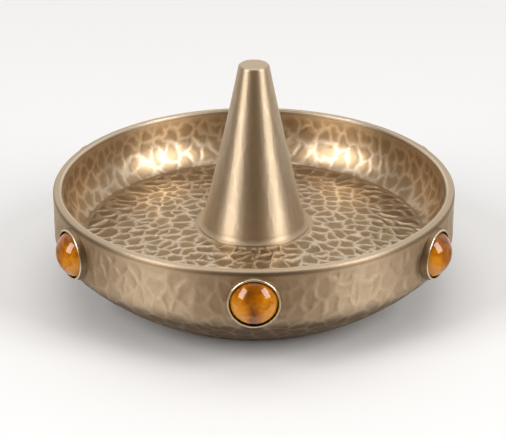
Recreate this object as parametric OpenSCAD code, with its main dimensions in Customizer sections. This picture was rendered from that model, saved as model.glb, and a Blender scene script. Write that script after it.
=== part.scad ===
/* [Bowl] */
// Outside diameter of the dish across its rim
dish_d = 100; // [98:1:104]
// Height of the rim above the table
rim_h = 27; // [26:0.5:30]
// Thickness of the spun sheet of the outer bowl
shell_t = 1; // [0.9:0.05:1.1]
// Width of the top of the rim, from the outer wall to the inner wall
rim_w = 2.2; // [2.15:0.05:2.4]
// Rounding of the rim's outer edge
edge_round = 1; // [0.6:0.1:1.2]
// Size of the bright bevel on the rim's inner edge
inner_bevel = 0.35; // [0.2:0.05:0.5]
// Height of the lip that is turned over the pan's edge
lip_h = 1; // [0.8:0.1:1.2]
// Height of the upright outer wall below the rim
wall_h = 11.2; // [10.5:0.1:12]
// Radius of the bend from the upright wall into the underside
bend_r = 6; // [5:0.5:7]
// Slope of the underside just below the bend, from the horizontal
slope_top = 46; // [44:1:48]
// Slope of the underside where it meets the base, from the horizontal
slope_base = 28; // [26:1:30]
// How far the base ring stands above the table
base_lift = 0.3; // [0.2:0.1:0.5]

/* [Pan] */
// Thickness of the hammered sheet of the pan
pan_t = 1.1; // [0.9:0.1:1.1]
// Radius of the wide curve that leads the inner wall in towards the floor
cove_r = 13; // [12:0.5:14]
// How far the wall has leaned over where the wide curve ends, in degrees
cove_turn = 45; // [40:1:48]
// Radius of the tight corner between the wall and the floor
corner_r = 1.5; // [1:0.25:2.5]
// Depth of the floor's edge below the rim
floor_depth = 13.6; // [12.5:0.1:14]
// Slope of the crowned floor at its edge, in degrees
floor_slope = 7.9; // [6:0.1:8.5]

/* [Ring cone] */
// Diameter of the cone across its flared foot
cone_base_d = 28.1; // [27:0.1:29]
// Diameter of the cone's side where the rounding of the tip starts
cone_tip_d = 7.7; // [7:0.1:9]
// Height of the cone's flat tip above the rim
cone_above_rim = 31.6; // [28:0.1:36]
// How far the side hollows in from a straight line, halfway up
cone_hollow = 0.25; // [0:0.05:0.5]
// Radius of the rounding round the flat tip
cone_tip_r = 0.8; // [0.5:0.1:1.2]
// Radius of the flare round the foot
foot_flare = 1.3; // [0.8:0.1:1.8]
// Height of the upright edge below the flare
foot_edge = 0.25; // [0.2:0.05:0.5]

/* [Stones] */
// Diameter of each stone at its girdle
stone_d = 11.3; // [10.8:0.1:11.3]
// Height of the stone's domed part
stone_dome = 3.2; // [2.4:0.1:3.6]
// Height of the stone's straight edge, held inside the cup
stone_edge = 1.2; // [1:0.1:1.4]
// Depth of the stones' centres below the rim
stone_depth = 7.5; // [7.5:0.1:7.8]
// Outside diameter of each cup where it passes through the wall
cup_d = 13; // [12.8:0.05:13]
// How much the cup narrows on each side from the wall to its front edge
cup_taper = 0.25; // [0.1:0.05:0.3]
// Thickness of the cup's wall at its front edge
cup_t = 0.5; // [0.35:0.05:0.5]
// Thickness of the cup's closed back
cup_back = 0.6; // [0.4:0.1:0.8]
// How far the cup's front edge stands out from the crest of the wall
cup_proud = 1.4; // [1.2:0.1:1.8]
// Rounding of the cup's front edge
cup_round = 0.2; // [0.1:0.05:0.2]
// Thickness of the foil behind the stone
foil_t = 0.2; // [0.15:0.05:0.3]

/* [Base and fastening] */
// Diameter of the felt under the base
felt_d = 57; // [50:1:58]
// Thickness of the felt
felt_t = 1.2; // [1:0.1:1.4]
// Diameter of the tie screw
screw_d = 5; // [4:0.5:5]
// How far the tie screw reaches up into the cone
screw_reach = 12; // [8:1:16]
// Diameter of the tie screw's head
head_d = 9; // [8:0.5:9.5]
// Height of the tie screw's head
head_h = 2; // [1.8:0.1:2.4]
// Size across the corners of the hexagon socket in the head
socket_d = 4.6; // [4:0.1:5]
// Diameter of the washer under the head
washer_d = 12; // [11:0.5:13]
// Thickness of the washer
washer_t = 0.8; // [0.6:0.1:1]
// Height to which the ballast fills the space below the pan
fill_h = 12.5; // [11:0.5:12.5]
// Gap left round the ballast by the resin as it shrinks
ballast_gap = 0.2; // [0.1:0.05:0.3]

/* [Hidden] */
$fn = 96;
bronze = "#9c8468";
bronze_hammered = "#a8906f";
bezel_gold = "#c2b08c";
amber = "#c87400";
foil_gold = "#d8b45a";
steel = "#b4b6b8";
resin_grey = "#8d8a84";
felt_black = "#2c2a28";

arc_step = 4;
curve_steps = 20;
hole_gap = 0.4;
thread_gap = 0.05;
felt_margin = 0.3;

rim_r = dish_d / 2;
shell_in_r = rim_r - shell_t;
lip_in_r = rim_r - rim_w;
lip_bottom = rim_h - lip_h;

// Bend below the upright wall, then the long curve of the underside down to the base ring
bend_c = [rim_r - bend_r, rim_h - wall_h];
bend_end = bend_c + bend_r * [sin(slope_top), -cos(slope_top)];
under_r = (bend_end[1] - base_lift) / (cos(slope_base) - cos(slope_top));
under_c = bend_end - under_r * [sin(slope_top), -cos(slope_top)];

// Recess in the base that holds the felt, and the pocket above it for the screw's head
recess_r = felt_d / 2 + felt_margin;
base_in_z = base_lift + shell_t;
bowl_floor_z = felt_t + shell_t;
pocket_r = washer_d / 2 + felt_margin;
head_z = felt_t + felt_margin;
washer_z = head_z + head_h;
pocket_top = washer_z + washer_t;
dimple_r = pocket_r + shell_t;
dimple_top = pocket_top + shell_t;
screw_hole_r = screw_d / 2 + hole_gap;

// Floor of the pan: its edge, the centre of the tight corner, and the radius of its crown
corner_turn = 90 + floor_slope;
corner_x = lip_in_r - cove_r + (cove_r - corner_r) * cos(cove_turn);
corner_c = [corner_x, rim_h - floor_depth + corner_r * cos(floor_slope)];
cove_c = [lip_in_r - cove_r, corner_c[1] + (cove_r - corner_r) * sin(cove_turn)];
floor_r = corner_x - corner_r * sin(floor_slope);
crown_r = floor_r / tan(floor_slope);

// Flat seat that the crowned floor leaves under the cone
cone_r = cone_base_d / 2;
seat_r = cone_r + hole_gap;
seat_z = floor_z(seat_r);

// Cone: the foot of its curved side, and the centre of the rounding at its tip
tip_z = rim_h + cone_above_rim;
side_foot = [cone_r - foot_flare, seat_z + foot_edge + foot_flare];
side_lean = atan((side_foot[0] - cone_tip_d / 2) / (tip_z - side_foot[1]));
tip_c = [cone_tip_d / 2 - cone_tip_r * cos(side_lean), tip_z - cone_tip_r];
side_top = tip_c + cone_tip_r * [cos(side_lean), sin(side_lean)];

// Stones: distances out from the dish's axis
stone_z = rim_h - stone_depth;
cup_floor = shell_in_r + cup_back;
cup_front = rim_r + cup_proud;
stone_base = cup_floor + foil_t;
girdle_top = stone_base + stone_edge;
stone_r = stone_d / 2;
dome_r = (stone_r * stone_r + stone_dome * stone_dome) / (2 * stone_dome);

places = ["front", "front_right", "back_right", "back", "back_left", "front_left"];
stone_turn = 360 / len(places);

// Height of the pan's crowned floor at a radius
function floor_z(r) = rim_h - floor_depth + (floor_r * floor_r - r * r) / (2 * crown_r);

// Points of an arc round a centre, from one angle to another
function arc(c, r, a0, a1) =
    let (n = max(2, ceil(abs(a1 - a0) / arc_step)))
    [for (i = [0:n]) c + r * [cos(a0 + (a1 - a0) * i / n), sin(a0 + (a1 - a0) * i / n)]];

function without_first(list) = [for (i = [1:len(list) - 1]) list[i]];
function reversed(list) = [for (i = [len(list) - 1:-1:0]) list[i]];

// Curve of the bowl from the upright wall down to the base, moved in by a distance
function underside(inset) = concat(
    arc(bend_c, bend_r - inset, 0, slope_top - 90),
    without_first(arc(under_c, under_r - inset, slope_top - 90, slope_base - 90))
);

// Curve of the pan from the cone's seat out to the upright wall, moved down by a distance
function pan_curve(inset) = concat(
    [for (i = [0:curve_steps - 1])
        let (r = seat_r + (floor_r - seat_r) * i / curve_steps) [r, floor_z(r) - inset]],
    arc(corner_c, corner_r + inset, -corner_turn, -cove_turn),
    without_first(arc(cove_c, cove_r + inset, -cove_turn, 0))
);

// Point on the cone's side, from 0 at the foot to 1 at the tip
function cone_side(t) =
    side_foot + (side_top - side_foot) * t - [4 * cone_hollow * t * (1 - t), 0];

// Spins a section about the dish's axis
module spun() {
    rotate_extrude() children();
}

// Points a shape drawn up the Z axis out from the dish, at one of the places
module at_place(i) {
    rotate([0, 0, i * stone_turn - 90])
        translate([0, 0, stone_z])
            rotate([0, 90, 0]) children();
}

module bowl_outside() {
    polygon(concat(
        [[0, rim_h]],
        arc([rim_r - edge_round, rim_h - edge_round], edge_round, 90, 0),
        underside(0),
        [[0, base_lift]]
    ));
}

// Room inside the bowl: the bevelled mouth, the space behind the lip, and the pressed floor
module bowl_inside() {
    polygon(concat(
        [[0, rim_h + 1], [lip_in_r + inner_bevel, rim_h + 1], [lip_in_r + inner_bevel, rim_h]],
        [[lip_in_r, rim_h - inner_bevel], [lip_in_r, lip_bottom], [shell_in_r, lip_bottom]],
        [for (p = underside(shell_t)) if (p[1] > base_in_z) p],
        [[recess_r + shell_t, base_in_z], [recess_r + shell_t, bowl_floor_z]],
        [[dimple_r, bowl_floor_z], [dimple_r, dimple_top], [0, dimple_top]]
    ));
}

// Outer bowl: spun sheet with its edge turned in over the pan, and a hole for each cup
module outer_bowl() {
    color(bronze) difference() {
        spun() difference() {
            bowl_outside();
            bowl_inside();
            square([recess_r, felt_t]);
            square([pocket_r, pocket_top]);
            square([screw_hole_r, rim_h]);
        }
        for (i = [0:len(places) - 1])
            at_place(i) translate([0, 0, floor_r]) cylinder(d = cup_d, h = rim_r);
    }
}

// Inner pan: one hammered sheet from the seat of the cone to the edge under the lip
module inner_pan() {
    color(bronze_hammered) spun() difference() {
        polygon(concat(
            [[0, seat_z]],
            pan_curve(0),
            [[lip_in_r, lip_bottom], [lip_in_r + pan_t, lip_bottom]],
            reversed(pan_curve(pan_t)),
            [[0, seat_z - pan_t]]
        ));
        square([screw_hole_r, rim_h]);
    }
}

// Ballast: resin cast between bowl and pan, flat where the pan's seat rests on it
module ballast() {
    color(resin_grey) spun() difference() {
        polygon(concat(
            [[0, rim_h], [shell_in_r - ballast_gap, rim_h]],
            [for (p = underside(shell_t + ballast_gap)) if (p[1] > bowl_floor_z) p],
            [[recess_r + shell_t, bowl_floor_z], [0, bowl_floor_z]]
        ));
        polygon(concat(
            [[0, rim_h + 1], [0, seat_z - pan_t], [cone_r, seat_z - pan_t]],
            [for (p = pan_curve(pan_t + ballast_gap)) if (p[1] < fill_h || p[0] < floor_r) p],
            [[rim_r, fill_h], [rim_r, rim_h + 1]]
        ));
        square([dimple_r + ballast_gap, dimple_top + ballast_gap]);
        square([screw_hole_r, rim_h]);
    }
}

// Ring cone: turned from bar, with a flat tip, a flared foot and a threaded hole
module ring_cone() {
    color(bronze) difference() {
        spun() polygon(concat(
            [[0, seat_z], [cone_r, seat_z]],
            arc(side_foot + [foot_flare, 0], foot_flare, 270, 180),
            [for (i = [1:curve_steps - 1]) cone_side(i / curve_steps)],
            arc(tip_c, cone_tip_r, side_lean, 90),
            [[0, tip_z]]
        ));
        translate([0, 0, seat_z - 1])
            cylinder(r = screw_d / 2 + thread_gap, h = screw_reach + 2);
    }
}

// Tie screw: pulls the bowl, ballast, pan and cone together from below
module tie_screw() {
    color(steel) difference() {
        union() {
            translate([0, 0, head_z]) cylinder(d = head_d, h = head_h);
            translate([0, 0, head_z]) cylinder(d = screw_d, h = seat_z + screw_reach - head_z);
        }
        translate([0, 0, head_z - 1]) cylinder(d = socket_d, h = head_h * 0.6 + 1, $fn = 6);
    }
}

module screw_washer() {
    color(steel) translate([0, 0, washer_z]) difference() {
        cylinder(d = washer_d, h = washer_t);
        translate([0, 0, -1]) cylinder(r = screw_hole_r, h = washer_t + 2);
    }
}

module base_felt() {
    color(felt_black) cylinder(d = felt_d, h = felt_t);
}

// Bezel cup: closed at the back, soldered into its hole, and closed in a little over the stone
module bezel_cup(i) {
    back_r = cup_d / 2;
    front_r = back_r - cup_taper;
    color(bezel_gold) at_place(i) spun() polygon(concat(
        [[0, shell_in_r], [back_r, shell_in_r], [back_r, rim_r]],
        arc([front_r - cup_round, cup_front - cup_round], cup_round, 0, 90),
        [[front_r - cup_t, cup_front], [front_r - cup_t, cup_floor], [0, cup_floor]]
    ));
}

// Foil: a thin bright disc that throws light back through the stone
module foil(i) {
    color(foil_gold) at_place(i) translate([0, 0, cup_floor]) cylinder(d = stone_d, h = foil_t);
}

// Cabochon: a straight girdle and a round dome
module cabochon(i) {
    color(amber) at_place(i) {
        translate([0, 0, stone_base]) cylinder(r = stone_r, h = stone_edge);
        intersection() {
            translate([0, 0, girdle_top + stone_dome - dome_r]) sphere(r = dome_r);
            translate([0, 0, girdle_top]) cylinder(r = stone_r + 1, h = stone_dome + 1);
        }
    }
}

outer_bowl();
inner_pan();
ballast();
ring_cone();
tie_screw();
screw_washer();
base_felt();
for (i = [0:len(places) - 1]) {
    bezel_cup(i);
    foil(i);
    cabochon(i);
}
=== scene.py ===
# %% [markdown]
# # A hammered ring dish
# This lesson dresses a small bronze dish for rings. Its construction is already made: the
# bowl, the pan, the cone, the cups and the stones arrive as a fixed frame, in metres. Here
# they get the surfaces that a maker gives them: hammer marks, a satin finish, polish, glass.

# %% Load the frame
import math

import bmesh
import bpy
from mathutils import Matrix, Vector


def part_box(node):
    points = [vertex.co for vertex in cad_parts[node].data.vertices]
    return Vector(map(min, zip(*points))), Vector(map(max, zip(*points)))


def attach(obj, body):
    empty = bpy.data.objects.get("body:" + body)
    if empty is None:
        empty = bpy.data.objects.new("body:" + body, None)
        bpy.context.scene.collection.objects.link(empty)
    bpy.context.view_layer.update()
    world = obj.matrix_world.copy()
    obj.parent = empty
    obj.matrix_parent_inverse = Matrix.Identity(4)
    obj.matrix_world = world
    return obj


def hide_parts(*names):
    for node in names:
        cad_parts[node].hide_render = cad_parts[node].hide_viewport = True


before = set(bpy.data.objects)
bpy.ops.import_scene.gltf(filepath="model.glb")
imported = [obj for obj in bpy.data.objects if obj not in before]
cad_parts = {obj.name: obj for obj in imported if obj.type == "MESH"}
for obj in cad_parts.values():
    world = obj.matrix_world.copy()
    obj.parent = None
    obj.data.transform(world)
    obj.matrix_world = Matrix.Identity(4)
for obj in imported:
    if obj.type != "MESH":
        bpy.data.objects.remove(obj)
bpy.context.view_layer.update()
MM = 0.001
print("nodes in the frame:", len(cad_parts))

# %% [markdown]
# The sizes that the looks need are measured from the frame, so that nothing has to be fitted
# by eye. From here on every shape is written in millimetres, as on a workshop drawing, and
# the helper that makes a mesh turns them into metres.

# %% Measure the frame


def box_mm(node):
    """The two corners of a node's box, in millimetres."""
    return [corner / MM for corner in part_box(node)]


bowl_lo, bowl_hi = box_mm("outer_bowl")
pan_lo, pan_hi = box_mm("inner_pan")
cone_lo, cone_hi = box_mm("ring_cone")
felt_lo, felt_hi = box_mm("base_felt")
cup_lo, cup_hi = box_mm("bezel_cup_front")
stone_lo, stone_hi = box_mm("cabochon_front")
RIM_R, RIM_H, BASE_LIFT = bowl_hi.x, bowl_hi.z, bowl_lo.z
PAN_OUT_R = pan_hi.x
CONE_R, SEAT_Z, TIP_Z = cone_hi.x, cone_lo.z, cone_hi.z
FELT_R, FELT_T = felt_hi.x, felt_hi.z
CUP_R, CUP_FRONT, SHELL_IN_R = cup_hi.x, -cup_lo.y, -cup_hi.y
STONE_R, STONE_TOP, STONE_BASE = stone_hi.x, -stone_lo.y, -stone_hi.y
STONE_Z = (cup_lo.z + cup_hi.z) / 2
print("rim radius %.1f mm, rim height %.1f mm" % (RIM_R, RIM_H))
print("cone radius %.2f mm, from %.2f to %.2f mm" % (CONE_R, SEAT_Z, TIP_Z))
print("cup radius %.2f mm, stone radius %.2f mm" % (CUP_R, STONE_R))

# %% [markdown]
# The camera stands where the photographer stood: straight in front, a little over half a
# metre away, looking down by about 25 degrees. A picture 506 pixels wide, seen through a lens
# whose focal length is given in pixels, fixes the lens for a 36 mm sensor.

# %% Camera
PHOTO_W = 506
FOCAL_PX = 2180.0
SENSOR = 36.0
CAMERA_SIDE, CAMERA_BACK, CAMERA_UP = -0.22, 496.0, 223.6
CAMERA_DIP = 0.44


def place_camera():
    data = bpy.data.cameras.new("photo_camera")
    data.sensor_width = SENSOR
    data.lens = FOCAL_PX / PHOTO_W * SENSOR
    data.clip_start = 0.01
    data.clip_end = 20.0
    cam = bpy.data.objects.new("photo_camera", data)
    bpy.context.collection.objects.link(cam)
    cam.location = (CAMERA_SIDE * MM, -CAMERA_BACK * MM, (RIM_H + CAMERA_UP) * MM)
    cam.rotation_euler = (math.pi / 2 - CAMERA_DIP, 0, 0)
    bpy.context.scene.camera = cam
    return cam


camera = place_camera()
print("lens %.1f mm" % camera.data.lens)

# %% [markdown]
# Two small helpers serve every material and every node tree below. Colours are written as
# the hex values that one would pick from a picture, and Blender's sockets want them linear.
# The other helper adds a node, sets it up and links it, whatever its kind is.

# %% Helpers for colours and nodes
MIX_A, MIX_B, MIX_OUT = 6, 7, 2


def linear(hex_colour):
    """An sRGB hex colour as linear red, green, blue and alpha."""
    shares = [int(hex_colour[i:i + 2], 16) / 255 for i in (1, 3, 5)]
    return tuple(c / 12.92 if c <= 0.04045 else ((c + 0.055) / 1.055) ** 2.4 for c in shares) + (1.0,)


def add(tree, kind, inputs=None, **settings):
    """Adds a node. Each input is given a value or is linked to a socket."""
    node = tree.nodes.new(kind)
    for name, value in settings.items():
        setattr(node, name, value)
    for key, value in (inputs or {}).items():
        if isinstance(value, bpy.types.NodeSocket):
            tree.links.new(value, node.inputs[key])
        else:
            node.inputs[key].default_value = value
    return node


def new_material(name):
    """An empty material and its node tree."""
    material = bpy.data.materials.new(name)
    material.use_nodes = True
    material.node_tree.nodes.clear()
    return material, material.node_tree


BRONZE = "#BFAA8F"
print("champagne bronze, linear:", [round(c, 3) for c in linear(BRONZE)])

# %% [markdown]
# The metal is a pale bronze, the colour of champagne. It was hammered, then rubbed down with
# fine abrasive until it had a satin finish, so that it mirrors its surroundings as soft
# patches. The strokes ran round the dish, and such fine scratches spread a light across
# themselves, up and down, so the soft boxes show as tall bands. The tangent that the shader
# takes runs round the axis too, a quarter turn from the way the light is spread.
# Rubbing brightens what stands proud: the borders between the hammer marks are paler
# and smoother. That paler colour is partly wear and partly a painted highlight for the light
# the borders catch. The hollows keep a little brown patina, and on the bowl the same brown
# also paints shade under the dish. The meshes below carry this as attributes: one on the
# borders, one in the marks and under the dish, and "tone" different for each mark.

# %% Satin bronze
GRAIN_MM = 0.35
GRAIN_TONE = 0.08
STROKE_MM = 1.0
STROKE_DEPTH_MM = 0.03
SMOOTHED = 0.3
CLOUD_MM = 9.0
QUARTER_TURN = 0.25


def satin_bronze(name, hollow, crest, roughness, drawn_out, cloudy):
    """Hand-rubbed bronze: soft patches of light and a fine grain. Its paler borders are partly wear and partly a
    painted highlight; its browner hollows are patina, and on the bowl also painted shade.
    drawn_out is how far the strokes round the dish draw the light out up and down, from 0 to 1."""
    material, tree = new_material(name)
    place = add(tree, "ShaderNodeTexCoord").outputs["Object"]
    border = add(tree, "ShaderNodeAttribute", attribute_name="crest").outputs["Fac"]
    mark = add(tree, "ShaderNodeAttribute", attribute_name="hollow").outputs["Fac"]
    tone = add(tree, "ShaderNodeAttribute", attribute_name="tone").outputs["Fac"]
    clouds = add(tree, "ShaderNodeTexNoise", {"Vector": place, "Scale": 1 / (CLOUD_MM * MM)})
    fine = add(tree, "ShaderNodeTexNoise", {"Vector": place, "Scale": 1 / (GRAIN_MM * MM)})
    cloud = add(tree, "ShaderNodeMapRange", {
        "Value": clouds.outputs["Fac"], "From Min": 0.4, "From Max": 0.7, "To Max": cloudy})
    dulled = add(tree, "ShaderNodeMath", {0: mark, 1: cloud.outputs[0]}, operation="ADD", use_clamp=True)
    # Browner in the marks as patina; on the bowl the same mix also paints shade under the dish.
    brown = add(tree, "ShaderNodeMix", {
        0: dulled.outputs[0], MIX_A: linear(BRONZE), MIX_B: linear(hollow)}, data_type="RGBA")
    shade = add(tree, "ShaderNodeMapRange", {"Value": tone, "To Min": 1.0, "To Max": 0.78})
    grain = add(tree, "ShaderNodeMapRange", {
        "Value": fine.outputs["Fac"], "From Min": 0.3, "From Max": 0.7,
        "To Min": 1 - GRAIN_TONE, "To Max": 1 + GRAIN_TONE})
    value = add(tree, "ShaderNodeMath", {0: shade.outputs[0], 1: grain.outputs[0]}, operation="MULTIPLY")
    toned = add(tree, "ShaderNodeHueSaturation", {"Color": brown.outputs[MIX_OUT], "Value": value.outputs[0]})
    # Painted highlight, partly wear: the borders take the pale crest colour and less roughness.
    rubbed = add(tree, "ShaderNodeMix", {
        0: border, MIX_A: toned.outputs["Color"], MIX_B: linear(crest)}, data_type="RGBA")
    rough = add(tree, "ShaderNodeMapRange", {
        "Value": border, "To Min": roughness, "To Max": roughness * SMOOTHED})
    strokes = add(tree, "ShaderNodeTexNoise", {
        "Vector": place, "Scale": 1 / (STROKE_MM * MM), "Detail": 3.0, "Distortion": 1.0})
    bump = add(tree, "ShaderNodeBump", {"Height": strokes.outputs["Fac"], "Distance": STROKE_DEPTH_MM * MM})
    around = add(tree, "ShaderNodeTangent", direction_type="RADIAL", axis="Z")
    metal = add(tree, "ShaderNodeBsdfPrincipled", {
        "Base Color": rubbed.outputs[MIX_OUT], "Metallic": 1.0, "Roughness": rough.outputs[0],
        "Anisotropic": drawn_out, "Anisotropic Rotation": QUARTER_TURN,
        "Normal": bump.outputs["Normal"], "Tangent": around.outputs[0]})
    add(tree, "ShaderNodeOutputMaterial", {"Surface": metal.outputs["BSDF"]})
    return material


# The bowl's dark brown is patina in its marks, and also painted shade under the dish and along the rim's outer
# rounding.
bronze_bowl = satin_bronze("satin_bronze_bowl", "#66523A", "#EADCC6", 0.50, drawn_out=0.7, cloudy=0.06)
bronze_pan = satin_bronze("hammered_bronze_pan", "#86693F", "#F2E6D2", 0.40, drawn_out=0.0, cloudy=0.1)
bronze_cone = satin_bronze("satin_bronze_cone", "#A68E6E", "#E2D2B8", 0.66, drawn_out=0.85, cloudy=0.1)
bronze_tip = satin_bronze("satin_bronze_tip", "#A68E6E", "#E2D2B8", 0.5, drawn_out=0.0, cloudy=0.1)
print("bronze finishes made")

# %% [markdown]
# The cups are burnished: rubbed with a hard, smooth steel until they shine, with small waves
# left by the tool. The inner side and the bottom of each cup, in the narrow gap next to the
# stone, are painted near-black as painted shade for that recess. That gives the fine dark
# line round each stone. The outer side of the cup is painted a darker brown, a painted dark
# reflection.

# %% Burnished cups
TOOL_WAVE_MM = 1.2


def burnished_cup():
    """Burnished bronze: nearly a mirror, with slight tool waves, a gap painted near-black as shade and an outer
    side painted darker.
    """
    material, tree = new_material("burnished_bronze_cup")
    place = add(tree, "ShaderNodeTexCoord").outputs["Object"]
    gap = add(tree, "ShaderNodeAttribute", attribute_name="tarnish").outputs["Fac"]
    side = add(tree, "ShaderNodeAttribute", attribute_name="side").outputs["Fac"]
    waves = add(tree, "ShaderNodeTexNoise", {"Vector": place, "Scale": 1 / (TOOL_WAVE_MM * MM)})
    # Painted shade: the cup's outer side gets a darker brown than the lip, for the dark reflection it shows.
    body = add(tree, "ShaderNodeMix", {
        0: side, MIX_A: linear("#E4D8C2"), MIX_B: linear("#8F7A5E")}, data_type="RGBA")
    # Painted shade: the gap's inner side and bottom are near-black.
    colour = add(tree, "ShaderNodeMix", {
        0: gap, MIX_A: body.outputs[MIX_OUT], MIX_B: linear("#140D07")}, data_type="RGBA")
    dull = add(tree, "ShaderNodeMath", {0: gap, 1: side}, operation="MAXIMUM")
    rough = add(tree, "ShaderNodeMapRange", {"Value": dull.outputs[0], "To Min": 0.25, "To Max": 0.5})
    bump = add(tree, "ShaderNodeBump", {"Height": waves.outputs["Fac"], "Distance": 0.004 * MM})
    metal = add(tree, "ShaderNodeBsdfPrincipled", {
        "Base Color": colour.outputs[MIX_OUT], "Metallic": 1.0, "Roughness": rough.outputs[0],
        "Normal": bump.outputs["Normal"]})
    add(tree, "ShaderNodeOutputMaterial", {"Surface": metal.outputs["BSDF"]})
    return material


cup_metal = burnished_cup()

# %% [markdown]
# The stones are amber: a cloudy resin, cut and polished, over a gold foil. Most of the light
# that enters is scattered by the clouds and comes back orange, and a smaller part gets
# through to the foil, so the shader is mainly coloured and a little clear. A domed stone
# gathers the light that enters at the top in its lower half, at both sides, and stays dark
# in the middle. That glow is painted light: the colour is drawn brighter at both sides and
# lower down, and darker in the middle, from each stone's own flat place, whose X runs down
# the stone and whose Y runs across it.

# %% Cloudy amber and gold foil
FOLD_MM = 1.8
STREAK_MM = 2.2
GLOW_ACROSS_MM = 3.4
GLOW_DOWN_MM = 4.5
AMBER = [(0.0, "#4F2703"), (0.35, "#804602"), (0.65, "#A65E02"), (1.0, "#C88006")]


def cloudy_amber_painted_glow():
    """Polished amber with streaks and clouds, and a painted glow: brighter at both sides and lower down, darker
    in the middle.
    """
    material, tree = new_material("cloudy_amber_painted_glow")
    place = add(tree, "ShaderNodeAttribute", attribute_name="flat_place").outputs["Vector"]
    solid = add(tree, "ShaderNodeTexCoord").outputs["Object"]
    way = add(tree, "ShaderNodeSeparateXYZ", {0: place})
    aside = add(tree, "ShaderNodeMath", {0: way.outputs["Y"]}, operation="ABSOLUTE")
    # Painted light: brighter at both sides and lower down, darker in the middle, as light gathered in the dome.
    across = add(tree, "ShaderNodeMapRange", {
        "Value": aside.outputs[0], "From Max": GLOW_ACROSS_MM * MM, "To Min": 0.15},
        interpolation_type="SMOOTHSTEP")
    down = add(tree, "ShaderNodeMapRange", {
        "Value": way.outputs["X"], "From Min": -GLOW_DOWN_MM * MM, "From Max": GLOW_DOWN_MM * MM,
        "To Min": 0.35})
    painted_glow_lobes = add(tree, "ShaderNodeMath", {0: across.outputs[0], 1: down.outputs[0]}, operation="MULTIPLY")
    clouds = add(tree, "ShaderNodeTexNoise", {
        "Vector": solid, "Scale": 1 / (STREAK_MM * MM), "Detail": 3.0, "Distortion": 0.6})
    cloud = add(tree, "ShaderNodeMapRange", {
        "Value": clouds.outputs["Fac"], "From Min": 0.3, "From Max": 0.7, "To Min": -0.22, "To Max": 0.30})
    glow = add(tree, "ShaderNodeMath", {0: painted_glow_lobes.outputs[0], 1: cloud.outputs[0]}, operation="ADD")
    lifted = add(tree, "ShaderNodeMath", {0: glow.outputs[0], 1: 0.2}, operation="ADD", use_clamp=True)
    colour = add(tree, "ShaderNodeValToRGB", {0: lifted.outputs[0]})
    steps = colour.color_ramp.elements
    while len(steps) < len(AMBER):
        steps.new(1.0)
    for step, (share, shade) in zip(steps, AMBER):
        step.position = share
        step.color = linear(shade)
    stone = add(tree, "ShaderNodeBsdfPrincipled", {
        "Base Color": colour.outputs["Color"], "Roughness": 0.05, "IOR": 1.54,
        "Transmission Weight": 0.1})
    add(tree, "ShaderNodeOutputMaterial", {"Surface": stone.outputs["BSDF"]})
    return material


def gold_foil():
    """Thin gold foil, folded by hand, so that it throws the light back in patches."""
    material, tree = new_material("folded_gold_foil")
    place = add(tree, "ShaderNodeTexCoord").outputs["Object"]
    folds = add(tree, "ShaderNodeTexNoise", {"Vector": place, "Scale": 1 / (FOLD_MM * MM), "Detail": 2.0})
    bump = add(tree, "ShaderNodeBump", {"Height": folds.outputs["Fac"], "Distance": 0.4 * MM})
    metal = add(tree, "ShaderNodeBsdfPrincipled", {
        "Base Color": linear("#FBDD93"), "Metallic": 1.0, "Roughness": 0.45,
        "Normal": bump.outputs["Normal"]})
    add(tree, "ShaderNodeOutputMaterial", {"Surface": metal.outputs["BSDF"]})
    return material


stone_amber = cloudy_amber_painted_glow()
foil_metal = gold_foil()

# %% [markdown]
# Felt, zinc plating and cast resin are plain finishes: a fine cloudy pattern between two
# near colours, with a little relief. Only the felt can be seen, and only from below.

# %% Wool felt, steel and resin


def plain_finish(name, dark, light, pattern_mm, roughness, metallic=0.0, sheen=0.0, relief_mm=0.02):
    """A finish with a fine cloudy pattern between two colours and a matching relief."""
    material, tree = new_material(name)
    place = add(tree, "ShaderNodeTexCoord").outputs["Object"]
    pattern = add(tree, "ShaderNodeTexNoise", {
        "Vector": place, "Scale": 1 / (pattern_mm * MM), "Detail": 5.0})
    colour = add(tree, "ShaderNodeMix", {
        0: pattern.outputs["Fac"], MIX_A: linear(dark), MIX_B: linear(light)}, data_type="RGBA")
    bump = add(tree, "ShaderNodeBump", {"Height": pattern.outputs["Fac"], "Distance": relief_mm * MM})
    skin = add(tree, "ShaderNodeBsdfPrincipled", {
        "Base Color": colour.outputs[MIX_OUT], "Metallic": metallic, "Roughness": roughness,
        "Sheen Weight": sheen, "Normal": bump.outputs["Normal"]})
    add(tree, "ShaderNodeOutputMaterial", {"Surface": skin.outputs["BSDF"]})
    return material


wool_felt = plain_finish("wool_felt", "#1C1A18", "#3E3A35", 0.5, 0.95, sheen=0.4, relief_mm=0.15)
zinc_steel = plain_finish("zinc_plated_steel", "#8E9296", "#C4C8CC", 1.5, 0.35, metallic=1.0)
cast_resin = plain_finish("cast_resin", "#7C7972", "#9C988F", 4.0, 0.6)

# %% [markdown]
# Every round part here was turned or spun, so every round part is made by one helper that
# spins a section about the dish's axis. A section is a list of (radius, height) points in
# millimetres, joined from straight runs and arcs.

# %% Points along a section


def run(start, end, step):
    """Points along a straight line."""
    count = max(1, math.ceil(math.dist(start, end) / step))
    return [tuple(a + (b - a) * i / count for a, b in zip(start, end)) for i in range(count + 1)]


def arc(centre, radius, start_deg, end_deg, step):
    """Points along an arc round a centre, from one angle to another."""
    a0, a1 = math.radians(start_deg), math.radians(end_deg)
    count = max(2, math.ceil(abs(a1 - a0) * radius / step))
    angles = [a0 + (a1 - a0) * i / count for i in range(count + 1)]
    return [(centre[0] + radius * math.cos(a), centre[1] + radius * math.sin(a)) for a in angles]


def joined(*parts):
    """One section out of several runs, without the points that two runs share."""
    points = []
    for point in (p for part in parts for p in part):
        if not points or math.dist(points[-1], point) > 1e-4:
            points.append(point)
    return points


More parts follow.
